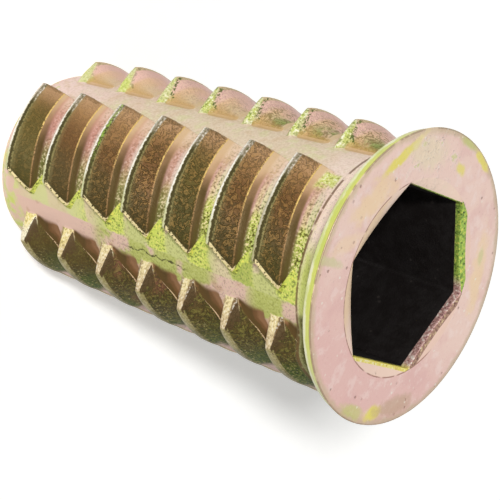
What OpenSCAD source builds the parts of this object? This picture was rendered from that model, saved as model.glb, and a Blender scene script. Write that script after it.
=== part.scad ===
// Hex drive threaded insert for wood.
// One hollow casting: a tapered body with a coarse wood thread on the outside, cut into four
// rows of separate ridges by smooth strips, and a thin flange flaring out at the top. The
// flange carries a hexagonal socket for a key; below it a bore, threaded for a machine bolt,
// runs out through the rounded tip. The insert stands on its tip, its axis along Z.

/* [Body] */
// height from the tip to the face of the flange
height = 30; // [26:0.5:40]
// radius of the body between the ridges, at the tip
core_r = 5.95; // [5.75:0.05:6.5]
// slope of the body's side, in degrees
taper = 2.05; // [1.6:0.05:2.6]
// radius of the rounded edge round the tip
tip_round = 1.7; // [0.6:0.1:1.9]

/* [Flange] */
// radius of the flange at its face
flange_r = 9; // [8.4:0.1:11]
// height of the rim
flange_h = 0.75; // [0.5:0.05:1.5]
// how far the rim draws in towards its lower edge
rim_draft = 0.25; // [0:0.05:0.4]
// height of the neck that flares out under the flange
neck_h = 2.4; // [1.8:0.1:3.2]

/* [Hex socket] */
// width of the socket across its flats
hex_af = 10.35; // [9:0.05:10.5]
// depth of the socket
hex_depth = 10; // [6:0.5:12]
// radius of the shallow countersink at the socket's mouth
sink_r = 6.05; // [5.4:0.05:6.6]
// slope of the countersink, in degrees from the face
sink_slope = 12; // [5:1:25]

/* [Bore] */
// radius of the bore, at the tops of its fine inner thread
bore_r = 3.4; // [2.5:0.05:3.7]
// width of the chamfer at either end of the bore
bore_chamfer = 0.4; // [0.1:0.05:0.5]

/* [Wood thread] */
// rise of the thread in one turn
pitch = 3.65; // [3.4:0.05:5]
// height of the ridges above the body
ridge_h = 1.32; // [0.9:0.02:1.6]
// width of the flat along the top of a ridge
crest_w = 0.25; // [0.1:0.02:0.5]
// width of a ridge's steep side, which faces the tip, along the axis
steep_w = 0.6; // [0.2:0.02:0.8]
// width of a narrow ridge's sloping side, which faces the flange, along the axis
slope_w = 0.95; // [0.6:0.01:1.1]
// depth of the seam where a narrow ridge's sloping side meets the hollow below it
seam_depth = 0.95; // [0.6:0.01:1.1]
// width of the hollow from the seam down to the body
hollow_w = 0.9; // [0.4:0.05:1]
// width of a wide ridge's sloping side, which runs straight down to the body
broad_w = 2.2; // [1.6:0.05:2.4]
// height of the thread's start above the tip
start_z = 2.25; // [1.9:0.05:3]
// drop of the narrow rows against the wide ones
row_drop = 0.55; // [0:0.05:0.8]
// how much lower the wide rows' crests lie where the two halves of the mould met
mould_flat = 0.18; // [0.02:0.01:0.4]

/* [Rows of ridges] */
// where the wide rows' crests begin, in degrees
wide_at = 170.6; // [164:0.2:176]
// how far round a wide row's crests reach, in degrees
wide_span = 56.4; // [50:0.2:62]
// slope of a wide row's leading end, in degrees from upright
wide_lead = 43; // [15:1:50]
// lean of a wide row's leading end against the axis, in degrees
wide_lead_lean = 13; // [-35:1:35]
// slope of the bevel that narrows the sloping side to that end, in degrees from upright
lead_bevel = 40; // [20:1:50]
// lean of that bevel against the axis, in degrees
lead_bevel_lean = -39; // [-50:1:-20]
// slope of a wide row's trailing end, in degrees from upright
wide_trail = 48; // [15:1:50]
// lean of a wide row's trailing end against the axis, in degrees
wide_trail_lean = 2; // [-35:1:35]
// slope of the bevel that narrows the sloping side to that end, in degrees from upright
trail_bevel = 50; // [20:1:52]
// lean of that bevel against the axis, in degrees
trail_bevel_lean = -17; // [-50:1:-10]
// where the narrow rows' crests begin, in degrees
narrow_at = 84; // [78:1:88]
// how far round a narrow row's crests reach, in degrees
narrow_span = 48.6; // [38:0.2:54]
// slope of a narrow row's leading end, in degrees from upright
narrow_lead = 22; // [5:1:40]
// lean of a narrow row's leading end against the axis, in degrees
narrow_lead_lean = 0; // [-35:1:35]
// slope of a narrow row's trailing end, in degrees from upright
narrow_trail = 22; // [5:1:40]
// lean of a narrow row's trailing end against the axis, in degrees
narrow_trail_lean = 43; // [-45:1:45]

/* [Hidden] */
$fn = 80;
// small overlap that lets cuts pass right through
eps = 0.1;
// steps in each rounded corner
round_steps = 6;
// how far the ridges are rooted in the body
root = 0.5;
// angle kept at each end of a ridge for its end to be cut from
spare = 24;
// the sides of the hexagon
hex_sides = 6;
// the two rows of one kind lie opposite each other
opposite = 180;
full_turn = 360;

// heights of the neck's foot and of the rim's lower edge
rim_z = height - flange_h;
neck_z = rim_z - neck_h;
rim_r = flange_r - rim_draft;
// lowest point of the socket
hex_z = height - hex_depth;
sink_depth = sink_r * tan(sink_slope);
// whole turns that fit between the thread's start and the neck
turns = max(1, round((neck_z - start_z) / pitch));
// how far a wide ridge climbs from its middle to the end of its crest
half_climb = pitch * wide_span / full_turn / 2;

// radius of the body at a height
function body_r(z) = core_r + z * tan(taper);

// radius of a ridge's crest at a height
function crest_r(z) = body_r(z) + ridge_h;

// points along an ellipse about a centre, from one angle to another
function arc(cx, cy, rx, ry, from, to) = [
    for (i = [0 : round_steps])
        let (a = from + (to - from) * i / round_steps)
        [cx + rx * cos(a), cy + ry * sin(a)]
];

// half section of the body: rounded tip, tapered side, flared neck and flange
module body_section() {
    neck_r = body_r(neck_z);
    polygon(concat(
        [[0, 0]],
        arc(body_r(tip_round) - tip_round, tip_round, tip_round, tip_round, -90, 0),
        arc(rim_r, neck_z, rim_r - neck_r, neck_h, 180, 90),
        [[flange_r, height], [0, height]]
    ));
}

// half section of a narrow ridge, its crest at radius r and height zero
module hooked_section(r) {
    half = crest_w / 2;
    seam = half + slope_w;
    // both sides run on below the body's surface
    steep_foot = steep_w * (ridge_h + root) / ridge_h;
    polygon([
        [r - ridge_h - root, -half - steep_foot],
        [r, -half],
        [r, half],
        [r - seam_depth, seam],
        [r - (seam_depth + ridge_h) / 2, seam + hollow_w / 3],
        [r - ridge_h - root, seam + 4 / 3 * hollow_w]
    ]);
}

// half section of a wide ridge, its crest at radius r and height zero
module broad_section(r) {
    half = crest_w / 2;
    // both sides run on below the body's surface
    run_on = (ridge_h + root) / ridge_h;
    polygon([
        [r - ridge_h - root, -half - steep_w * run_on],
        [r, -half],
        [r, half],
        [r - ridge_h - root, half + broad_w * run_on]
    ]);
}

// block that cuts off the end of a ridge, its face through a point of the crest
module end_cut(r, slope, lean, lift = 0) {
    size = 4 * pitch;
    translate([r, 0, lift])
        rotate([lean, 0, 0])
            rotate([0, 0, slope])
                translate([-size / 2, -size, -size / 2])
                    cube(size);
}

// one ridge of the given section, following the helix through its middle, its crest from
// angle 0 to span
module ridge(z, span, lead, lead_lean, trail, trail_lean) {
    r = crest_r(z);
    helix = atan(pitch / (2 * PI * r));
    reach = span + 2 * spare;
    translate([0, 0, z])
        difference() {
            rotate([0, 0, span / 2])
                rotate([helix, 0, 0])
                    rotate([0, 0, -reach / 2])
                        rotate_extrude(angle = reach)
                            children();
            end_cut(r, lead, lead_lean);
            rotate([0, 0, span])
                mirror([0, 1, 0])
                    end_cut(r, trail, trail_lean);
        }
}

// height of a row's ridge in a given turn
function ridge_z(turn, middle) = start_z + pitch * (turn + (middle % full_turn) / full_turn);

// one row of the narrow kind, a ridge to each turn
module narrow_row(at) {
    for (i = [0 : turns - 1]) {
        z = ridge_z(i, at + narrow_span / 2) - row_drop;
        rotate([0, 0, at])
            ridge(z, narrow_span, narrow_lead, narrow_lead_lean, narrow_trail, narrow_trail_lean)
                hooked_section(crest_r(z));
    }
}

// one row of the wide kind, its ridges bevelled to the ends and flattened in the middle
module wide_row(at) {
    for (i = [0 : turns - 1]) {
        z = ridge_z(i, at + wide_span / 2);
        r = crest_r(z);
        rotate([0, 0, at])
            difference() {
                ridge(z, wide_span, wide_lead, wide_lead_lean, wide_trail, wide_trail_lean)
                    broad_section(r);
                translate([0, 0, z + crest_w / 2]) {
                    end_cut(r, lead_bevel, lead_bevel_lean, -half_climb);
                    rotate([0, 0, wide_span])
                        mirror([0, 1, 0])
                            end_cut(r, trail_bevel, trail_bevel_lean, half_climb);
                }
                rotate([0, 0, wide_span / 2])
                    translate([r - mould_flat, -pitch * 2, z - pitch])
                        cube([pitch, pitch * 4, pitch * 2]);
            }
    }
}

// hex socket with its countersink, and the bore below it
module hollow() {
    translate([0, 0, hex_z])
        cylinder(d = hex_af / cos(opposite / hex_sides), h = hex_depth + eps, $fn = hex_sides);
    translate([0, 0, height - sink_depth])
        cylinder(r1 = 0, r2 = sink_r * (sink_depth + eps) / sink_depth, h = sink_depth + eps);
    translate([0, 0, -eps])
        cylinder(r = bore_r, h = hex_z + 2 * eps);
    translate([0, 0, -eps])
        cylinder(r1 = bore_r + bore_chamfer + eps, r2 = bore_r, h = bore_chamfer + eps);
    translate([0, 0, hex_z - bore_chamfer])
        cylinder(r1 = bore_r, r2 = bore_r + bore_chamfer + eps, h = bore_chamfer + eps);
}

module insert() {
    color([0.80, 0.70, 0.42])
        difference() {
            union() {
                // turned so that the revolved body starts in a smooth strip
                rotate([0, 0, (narrow_at + narrow_span + wide_at) / 2])
                    rotate_extrude()
                        body_section();
                for (turn = [0, opposite]) {
                    wide_row(wide_at + turn);
                    narrow_row(narrow_at + turn);
                }
            }
            hollow();
        }
}

insert();
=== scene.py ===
"""Threaded insert for wood: the cast thread and head, their chromate film, and the stage."""

from __future__ import annotations

import logging
import math
from dataclasses import dataclass
from enum import Enum
from typing import Union

import bmesh
import bpy
import numpy as np
from bpy.types import Material, Mesh, Node, NodeSocket, Object
from mathutils import Matrix, Vector


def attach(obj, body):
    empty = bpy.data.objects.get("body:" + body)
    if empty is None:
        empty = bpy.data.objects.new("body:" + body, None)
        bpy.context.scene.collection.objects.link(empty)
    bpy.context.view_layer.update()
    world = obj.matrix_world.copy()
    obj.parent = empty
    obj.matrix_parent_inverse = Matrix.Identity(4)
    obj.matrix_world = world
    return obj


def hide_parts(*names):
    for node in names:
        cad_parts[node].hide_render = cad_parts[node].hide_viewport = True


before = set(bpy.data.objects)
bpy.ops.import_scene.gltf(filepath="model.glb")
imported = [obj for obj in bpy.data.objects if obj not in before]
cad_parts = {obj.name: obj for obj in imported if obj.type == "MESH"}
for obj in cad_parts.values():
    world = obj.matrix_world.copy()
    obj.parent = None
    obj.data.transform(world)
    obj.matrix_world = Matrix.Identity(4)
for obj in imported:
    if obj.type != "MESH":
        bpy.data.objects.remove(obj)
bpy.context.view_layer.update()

LOG = logging.getLogger("threaded_insert")
MM = 0.001
FULL_TURN = 360.0
HALF_TURN = 180.0
Ink = tuple[float, float, float, float]
Triple = tuple[float, float, float]


def show(name: str, data: object) -> Object:
    """Makes an object of a mesh, a lamp or a camera and puts it in the scene.

    Args:
        name: its name.
        data: the mesh, the lamp or the camera.

    Returns:
        The object.
    """
    made = bpy.data.objects.new(name, data)
    bpy.context.scene.collection.objects.link(made)
    return made


def new_paint(name: str) -> tuple[Material, Net, Node]:
    """Makes a material with a net of nodes.

    Args:
        name: the material's name.

    Returns:
        The material, its net of nodes and its shader.
    """
    made = bpy.data.materials.new(name)
    made.use_nodes = True
    return made, Net(made.node_tree), made.node_tree.nodes["Principled BSDF"]


# ---------------------------------------------------------------- nodes as formulas


class Field:
    """A value in a node tree, on which arithmetic can be written."""

    def __init__(self, net: Net, socket: NodeSocket) -> None:
        """Keeps the socket and the net it belongs to."""
        self.net = net
        self.socket = socket

    def __add__(self, other: Operand) -> Field:
        """Sum of two values."""
        return self.net.math("ADD", self, other)

    def __sub__(self, other: Operand) -> Field:
        """Difference of two values."""
        return self.net.math("SUBTRACT", self, other)

    def __rsub__(self, other: Operand) -> Field:
        """Difference of a number and this value."""
        return self.net.math("SUBTRACT", other, self)

    def __mul__(self, other: Operand) -> Field:
        """Product of two values."""
        return self.net.math("MULTIPLY", self, other)

    def __truediv__(self, other: Operand) -> Field:
        """Quotient of two values."""
        return self.net.math("DIVIDE", self, other)

    __radd__ = __add__
    __rmul__ = __mul__


Operand = Union[Field, float]


class Net:
    """Writes nodes into a tree, so that a formula reads as a formula."""

    def __init__(self, tree: bpy.types.NodeTree) -> None:
        """Keeps the tree that the nodes go into."""
        self.tree = tree

    def put(self, socket: NodeSocket, value: object) -> None:
        """Links a field or a socket to an input, or sets a plain value on it.

        Args:
            socket: the input.
            value: what it gets.
        """
        value = value.socket if isinstance(value, Field) else value
        if isinstance(value, NodeSocket):
            self.tree.links.new(value, socket)
        else:
            socket.default_value = value

    def node(self, kind: str, inputs: dict | None = None, **settings: object) -> Node:
        """Adds a node.

        Args:
            kind: the node's type name.
            inputs: values or sockets by input name or index.
            settings: the node's own properties.

        Returns:
            The node.
        """
        made = self.tree.nodes.new(kind)
        for name, value in settings.items():
            setattr(made, name, value)
        for name, value in (inputs or {}).items():
            self.put(made.inputs[name], value)
        return made

    def geo(self, kind: str, inputs: dict | None = None, **settings: object) -> NodeSocket:
        """Adds a geometry node and returns its first result."""
        return self.node(f"GeometryNode{kind}", inputs, **settings).outputs[0]

    def named(self, name: str, kind: str = "FLOAT") -> NodeSocket:
        """Reads an attribute of a mesh in a geometry tree."""
        return self.geo("InputNamedAttribute", {"Name": name}, data_type=kind)

    def math(self, operation: str, *operands: Operand) -> Field:
        """Adds a math node on fields and numbers, and returns its result."""
        made = self.node("ShaderNodeMath", dict(enumerate(operands)), operation=operation)
        return Field(self, made.outputs[0])

    def most(self, one: Operand, two: Operand) -> Field:
        """The larger of two values."""
        return self.math("MAXIMUM", one, two)

    def least(self, one: Operand, two: Operand) -> Field:
        """The smaller of two values."""
        return self.math("MINIMUM", one, two)

    def length(self, x: Field, y: Field) -> Field:
        """Length of a flat vector."""
        return self.math("SQRT", x * x + y * y)

    def ramp(
        self,
        value: Operand,
        low: float,
        high: float,
        out_low: Operand = 0.0,
        out_high: Operand = 1.0,
        kind: str = "SMOOTHSTEP",
    ) -> Field:
        """Maps a value from one span to another, held at both ends.

        Args:
            value: what is mapped.
            low: where the span begins; it may be above high.
            high: where the span ends.
            out_low: result at low.
            out_high: result at high.
            kind: how it goes from one to the other.

        Returns:
            The mapped value.
        """
        if low > high:
            low, high, out_low, out_high = high, low, out_high, out_low
        inputs = {0: value, 1: low, 2: high, 3: out_low, 4: out_high}
        made = self.node("ShaderNodeMapRange", inputs, interpolation_type=kind)
        return Field(self, made.outputs[0])

    def band(self, value: Operand, low: float, high: float, soft: float) -> Field:
        """Mask that is 1 between low and high and falls to 0 over soft on both sides."""
        return self.ramp(value, low - soft, low) * self.ramp(value, high + soft, high)

    def split(self, vector: NodeSocket) -> tuple[Field, Field, Field]:
        """Takes a vector apart into its three parts."""
        made = self.node("ShaderNodeSeparateXYZ", {0: vector})
        return tuple(Field(self, out) for out in made.outputs)

    def join(self, x: Operand, y: Operand, z: Operand) -> NodeSocket:
        """Makes a vector of three values."""
        return self.node("ShaderNodeCombineXYZ", {0: x, 1: y, 2: z}).outputs[0]

    def vector(self, operation: str, one: NodeSocket, two: Triple) -> NodeSocket:
        """Adds a vector math node and returns its result."""
        return self.node("ShaderNodeVectorMath", {0: one, 1: two}, operation=operation).outputs[0]


class SizedTree:
    """A geometry-node tree with named sizes, which is run once for a plain mesh."""

    def __init__(self, name: str, values: dict[str, float]) -> None:
        """Starts the tree.

        Args:
            name: the tree's name.
            values: its sizes by name; a whole number makes a whole-number input.
        """
        self.name = name
        self.values = values
        self.tree = bpy.data.node_groups.new(name, "GeometryNodeTree")
        self.net = Net(self.tree)
        add = self.tree.interface.new_socket
        add(name="Geometry", in_out="INPUT", socket_type="NodeSocketGeometry")
        for key, value in values.items():
            kind = "Int" if isinstance(value, int) else "Float"
            add(name=key, in_out="INPUT", socket_type=f"NodeSocket{kind}")
        add(name="Geometry", in_out="OUTPUT", socket_type="NodeSocketGeometry")
        given = self.net.node("NodeGroupInput").outputs
        self.start = given["Geometry"]
        self.size = {key: Field(self.net, given[key]) for key in values}

    def run(self, made: NodeSocket, start: Mesh, film: Material | None = None) -> Mesh:
        """Ends the tree and runs it on a mesh.

        Args:
            made: what the tree makes.
            start: the mesh that goes in.
            film: the material that it is dressed in.

        Returns:
            The plain mesh that comes out.
        """
        whole = self.net.geo("RealizeInstances", {"Geometry": made})
        dressed = self.net.geo("SetMaterial", {"Geometry": whole, "Material": film})
        self.net.node("NodeGroupOutput", {"Geometry": dressed})
        holder = show(f"{self.name}_holder", start)
        modifier = holder.modifiers.new(self.name, "NODES")
        modifier.node_group = self.tree
        for item in self.tree.interface.items_tree:
            if item.in_out == "INPUT" and item.name in self.values:
                modifier[item.identifier] = self.values[item.name]
        graph = bpy.context.evaluated_depsgraph_get()
        mesh = bpy.data.meshes.new_from_object(holder.evaluated_get(graph))
        bpy.data.objects.remove(holder)
        return mesh


# ---------------------------------------------------------------- sizes of the casting


@dataclass(frozen=True)
class BodySizes:
    """Sizes of the body, the head and the hollow, in millimetres and degrees."""

    height: float = 30.0
    core_r: float = 5.95
    taper: float = 2.05
    tip_round: float = 1.7
    flange_r: float = 9.0
    flange_h: float = 0.75
    rim_draft: float = 0.25
    rim_round: float = 0.07
    neck_h: float = 2.4
    hex_af: float = 10.35
    hex_depth: float = 10.0
    hex_round: float = 0.06
    sink_r: float = 6.05
    sink_slope: float = 12.0
    groove_r: float = 4.0
    bore_chamfer: float = 0.22

    @property
    def rim_z(self) -> float:
        """Height of the rim's lower edge."""
        return self.height - self.flange_h

    @property
    def neck_z(self) -> float:
        """Height of the neck's foot."""
        return self.rim_z - self.neck_h

    @property
    def rim_r(self) -> float:
        """Radius of the rim's lower edge."""
        return self.flange_r - self.rim_draft

    @property
    def hex_z(self) -> float:
        """Height of the socket's floor."""
        return self.height - self.hex_depth

    def body_r(self, z: float) -> float:
        """Radius of the body at a height."""
        return self.core_r + z * math.tan(math.radians(self.taper))


@dataclass(frozen=True)
class ThreadSizes:
    """Sizes of the wood thread that all its rows share, in millimetres."""

    pitch: float = 3.65
    turns: int = 7
    start_z: float = 2.25
    ridge_h: float = 1.32
    from_z: float = 0.95
    to_z: float = 28.75
    strip_foot: float = -1.3

    def helix(self, angle: float) -> float:
        """Height of the helix at an angle, in its first turn."""
        return self.start_z + self.pitch * angle / FULL_TURN


@dataclass(frozen=True)
class FirstRidge:
    """How the very first ridge runs in, a little lower than the others."""

    angles: tuple[float, float] = (62.0, 50.0)
    heights: tuple[float, float] = (4.9, 4.6)
    climb: float = 1 / 98.6
    lowered: float = 0.2


class Line(Enum):
    """The lines that run along a ridge, in order from its steep foot up to the flange's side."""

    BEFORE = 0
    FOOT = 1
    STEEP = 2
    CREST_IN = 3
    CREST_OUT = 4
    FLANK = 5
    SEAM = 6
    HOLLOW = 7
    ROOT = 8
    STRIP = 9


@dataclass(frozen=True)
class RidgeSection:
    """Where each line of a ridge lies along the axis, and how high it stands."""

    rise: tuple[float, ...]
    relief: tuple[float, ...]


@dataclass(frozen=True)
class RidgeEnd:
    """How a ridge ends: each line's reach past the crest's end, in millimetres."""

    base: tuple[float, ...]
    edge: tuple[float, ...]
    rise: tuple[float, ...]
    relief: tuple[float, ...]


@dataclass(frozen=True)
class RowSizes:
    """One kind of row: where its crests run, its sections, and how its ridges end."""

    begins: float
    ends: float
    strip_from: float
    strip_to: float
    drop: float
    wide: float
    lead: RidgeEnd
    trail: RidgeEnd
    posts: tuple[tuple[float, RidgeSection], ...]


NARROW_UPPER = RidgeSection(
    rise=(-1.1, -0.78, -0.52, -0.25, 0.125, 0.6, 1.075, 1.42, 1.975, 2.27),
    relief=(0.0, 0.0, 0.66, 1.32, 1.32, 0.845, 0.37, 0.13, 0.0, 0.0),
)
NARROW_LOWER = RidgeSection(
    rise=(-1.1, -0.82, -0.56, -0.31, 0.125, 0.68, 1.25, 1.6, 2.08, 2.3),
    relief=(0.0, 0.0, 0.66, 1.32, 1.32, 0.845, 0.37, 0.13, 0.0, 0.0),
)
NARROW = RowSizes(
    begins=84.0,
    ends=132.6,
    strip_from=70.0,
    strip_to=150.0,
    drop=0.55,
    wide=0.0,
    lead=RidgeEnd(
        base=(0.55, 0.6, 0.6, 0.62, 0.62, 0.68, 0.74, 0.7, 0.6, 0.55),
        edge=(0.3, 0.5, 0.3, 0.08, 0.08, 0.34, 0.58, 0.62, 0.55, 0.3),
        rise=NARROW_UPPER.rise,
        relief=NARROW_UPPER.relief,
    ),
    trail=RidgeEnd(
        base=(0.8, 0.3, 0.5, 0.78, 0.95, 1.38, 1.86, 1.1, 0.2, 0.6),
        edge=(0.4, 0.0, 0.0, 0.0, 0.12, 0.8, 1.6, 0.8, -0.2, 0.2),
        rise=(-1.1, -0.82, -0.56, -0.31, 0.125, 0.6, 1.075, 1.42, 1.975, 2.27),
        relief=NARROW_LOWER.relief,
    ),
    posts=((0.05, NARROW_UPPER), (0.4, NARROW_UPPER), (0.68, NARROW_LOWER), (0.95, NARROW_LOWER)),
)

# the mould's two halves part in the middle of a wide row: below the parting line the steep
# side keeps its height, above it the sloping side does, so the ridges step aside there
WIDE_LEAD = RidgeSection(
    rise=(-1.1, -0.98, -0.7, -0.43, 0.12, 1.12, 2.12, 2.28, 2.38, 2.47),
    relief=(0.0, 0.0, 0.7, 1.42, 1.42, 0.88, 0.32, 0.12, 0.04, 0.0),
)
WIDE_BEFORE = RidgeSection(
    rise=(-1.2, -1.1, -0.88, -0.68, 0.12, 1.08, 2.05, 2.18, 2.27, 2.36),
    relief=(0.0, 0.03, 0.64, 1.24, 1.24, 0.8, 0.34, 0.2, 0.12, 0.05),
)
WIDE_AFTER = RidgeSection(
    rise=(-1.0, -0.85, -0.5, -0.14, 0.41, 1.36, 2.3, 2.41, 2.49, 2.57),
    relief=(0.0, 0.02, 0.56, 1.12, 1.12, 0.7, 0.28, 0.14, 0.07, 0.03),
)
WIDE_TRAIL = RidgeSection(
    rise=(-0.95, -0.8, -0.47, -0.14, 0.15, 1.28, 2.35, 2.48, 2.56, 2.63),
    relief=(0.0, 0.0, 0.7, 1.42, 1.42, 0.8, 0.22, 0.08, 0.03, 0.0),
)
WIDE = RowSizes(
    begins=170.6,
    ends=227.0,
    strip_from=150.0,
    strip_to=250.0,
    drop=0.0,
    wide=1.0,
    lead=RidgeEnd(
        base=(1.1, 1.42, 1.46, 1.5, 1.54, 1.56, 1.0, 1.1, 1.15, 1.15),
        edge=(0.6, 1.3, 0.65, -0.08, 0.06, 1.44, 0.29, 0.56, 0.8, 0.8),
        rise=(-1.1, -0.64, -0.5, -0.37, 0.1, 0.38, 1.25, 1.6, 1.98, 2.3),
        relief=(0.0, 0.0, 0.7, 1.42, 1.42, 0.04, 0.3, 0.12, 0.03, 0.0),
    ),
    trail=RidgeEnd(
        base=(1.3, 1.95, 1.98, 2.0, 1.8, 1.58, 1.46, 1.4, 1.35, 1.25),
        edge=(0.6, 1.85, 0.95, 0.0, 0.06, 1.46, 1.3, 1.25, 1.2, 0.9),
        rise=(-0.74, -0.36, -0.28, -0.2, 0.06, 0.28, 2.54, 2.66, 2.74, 2.82),
        relief=(0.0, 0.0, 0.7, 1.42, 1.42, 0.05, 0.06, 0.03, 0.0, 0.0),
    ),
    posts=((0.06, WIDE_LEAD), (0.5, WIDE_BEFORE), (0.54, WIDE_AFTER), (0.94, WIDE_TRAIL)),
)


# places along a ridge: a strip's middle and quarter, and the foot and edge of a ridge's end
MIDDLE, QUARTER, END_FOOT, END_EDGE = 3.0, 2.5, 2.0, 1.0
# ridge coordinates of all that has no ridge
PLAIN_UV = (MIDDLE, 9.5)


class ThreadCage:
    """The coarse net of one turn of the thread, unrolled: angle, height and relief."""

    shares = (0.06, 0.2, 0.35, 0.5, 0.54, 0.68, 0.82, 0.94)
    between_rows = 0.5
    long_creases = {Line.CREST_IN: 0.6, Line.CREST_OUT: 0.7, Line.SEAM: 0.75, Line.FOOT: 0.4}
    hollow_crease = 0.8
    foot_creases = {True: 0.8, False: 0.5}

    def __init__(self, body: BodySizes, thread: ThreadSizes) -> None:
        """Keeps the sizes that the net is drawn from.

        Args:
            body: sizes of the casting.
            thread: sizes of the thread.
        """
        self.thread = thread
        self.per_mm = math.degrees(1 / (body.body_r(body.height / 2) + thread.ridge_h))
        count = len(Line)
        self.flat = [0.0] * count
        self.even = [thread.strip_foot + thread.pitch * v / count for v in range(count)]

    def ending(self, row: RowSizes, end: RidgeEnd, sign: int) -> list[tuple]:
        """Works out the upright lines from a strip's middle to the edge of a ridge's end.

        Args:
            row: the kind of row.
            end: how its ridges end.
            sign: -1 for the leading end, 1 for the trailing end.

        Returns:
            For each upright line its place along the ridge, its angles, rises and reliefs.
        """
        start, strip = (row.begins, row.strip_from) if sign < 0 else (row.ends, row.strip_to)
        base = [start + sign * out * self.per_mm for out in end.base]
        edge = [start + sign * out * self.per_mm for out in end.edge]
        mean = (strip + 2 * start + 2 * sign * max(end.base) * self.per_mm) / 3
        rise = [value - row.drop for value in end.rise]
        half = [(a + 2 * b) / 3 for a, b in zip(self.even, rise)]
        return [
            (sign * MIDDLE, [strip] * len(Line), self.even, self.flat),
            (sign * QUARTER, [mean] * len(Line), half, self.flat),
            (sign * END_FOOT, base, rise, self.flat),
            (sign * END_EDGE, edge, rise, end.relief),
        ]

    def columns(self, row: RowSizes) -> list[tuple]:
        """Works out all the upright lines of one row.

        Args:
            row: the kind of row.

        Returns:
            For each upright line what ending gives.
        """
        made = self.ending(row, row.lead, -1)
        trail = self.ending(row, row.trail, 1)
        knots = [share for share, _ in row.posts]
        first, last = made[-1][1], trail[-1][1]
        for share in self.shares:
            angles = [a + (b - a) * share for a, b in zip(first, last)]
            angles[Line.FLANK.value] = (angles[Line.CREST_OUT.value] + angles[Line.SEAM.value]) / 2
            rise, relief = [], []
            for v in range(len(Line)):
                rise.append(np.interp(share, knots, [p.rise[v] for _, p in row.posts]) - row.drop)
                relief.append(np.interp(share, knots, [p.relief[v] for _, p in row.posts]))
            made.append((2 * share - 1, angles, rise, relief))
        return made + trail[::-1]

    def mesh(self) -> Mesh:
        """Draws the net of one full turn, its rows in order.

        Returns:
            The mesh, with the plain places, the ridge coordinates and the creases.
        """
        count, pitch = len(Line) + 1, self.thread.pitch
        points, plain, places, wides = [], [], [], []
        for shift, row in ((-HALF_TURN, WIDE), (0.0, NARROW), (0.0, WIDE), (HALF_TURN, NARROW)):
            for place, angles, rises, reliefs in self.columns(row)[1 if points else 0 :]:
                foot = None
                for v in range(count):
                    lap, line = divmod(v, len(Line))
                    angle = angles[line] + shift
                    z = self.thread.helix(angle) + (rises[line] + pitch * lap)
                    foot = foot or (angle, z)
                    points.append((angle, z, reliefs[line]))
                    plain.append((foot[0], foot[1] + pitch * v / len(Line), 0.0))
                    places.append((place, float(v)))
                    wides.append(row.wide if abs(place) < MIDDLE else self.between_rows)
        starts = [a for a in range(len(points) - count) if (a + 1) % count]
        mesh = bpy.data.meshes.new("thread_cage")
        mesh.from_pydata(points, [], [(a, a + count, a + count + 1, a + 1) for a in starts])
        uv = mesh.uv_layers.new(name="ridge_uv")
        for face in mesh.polygons:
            # a strip's middle is the end of one row and the start of the next
            opens = min(places[v][0] for v in face.vertices) < 0
            for loop, vertex in zip(face.loop_indices, face.vertices):
                along, line = places[vertex]
                uv.data[loop].uv = (-along if opens and along == MIDDLE else along, line)
        ends = [tuple(edge.vertices) for edge in mesh.edges]
        folds = [self.crease(places[a], places[b], wides[a] == WIDE.wide) for a, b in ends]
        for name, kind, domain, key, values in (
            ("plain_place", "FLOAT_VECTOR", "POINT", "vector", plain),
            ("wide_row", "FLOAT", "POINT", "value", wides),
            ("fold", "FLOAT", "EDGE", "value", folds),
        ):
            attribute = mesh.attributes.new(name, kind, domain)
            attribute.data.foreach_set(key, np.asarray(values, dtype=np.float32).ravel())
        return mesh

    def crease(self, a: tuple[float, float], b: tuple[float, float], wide: bool) -> float:
        """How sharp an edge of the net is.

        Args:
            a: ridge coordinates of its one end.
            b: ridge coordinates of its other end.
            wide: whether it is in a wide row.

        Returns:
            The crease, from 0 to 1.
        """
        place = abs(a[0])
        near, far = sorted((place, abs(b[0])))
        low, high = sorted((a[1], b[1]))
        if near == MIDDLE:
            return 1.0
        if low == high:
            if wide and low == Line.FLANK.value and near == END_EDGE:
                return float(far == END_FOOT)
            line = Line(int(low) % len(Line))
            return self.long_creases.get(line, 0.0) if far <= END_FOOT else 0.0
        if place not in (END_EDGE, END_FOOT) or low < Line.FOOT.value or high > Line.ROOT.value:
            return 0.0
        if place == END_FOOT:
            return self.foot_creases[wide]
        return 1.0 if high <= Line.FLANK.value else self.hollow_crease


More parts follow.
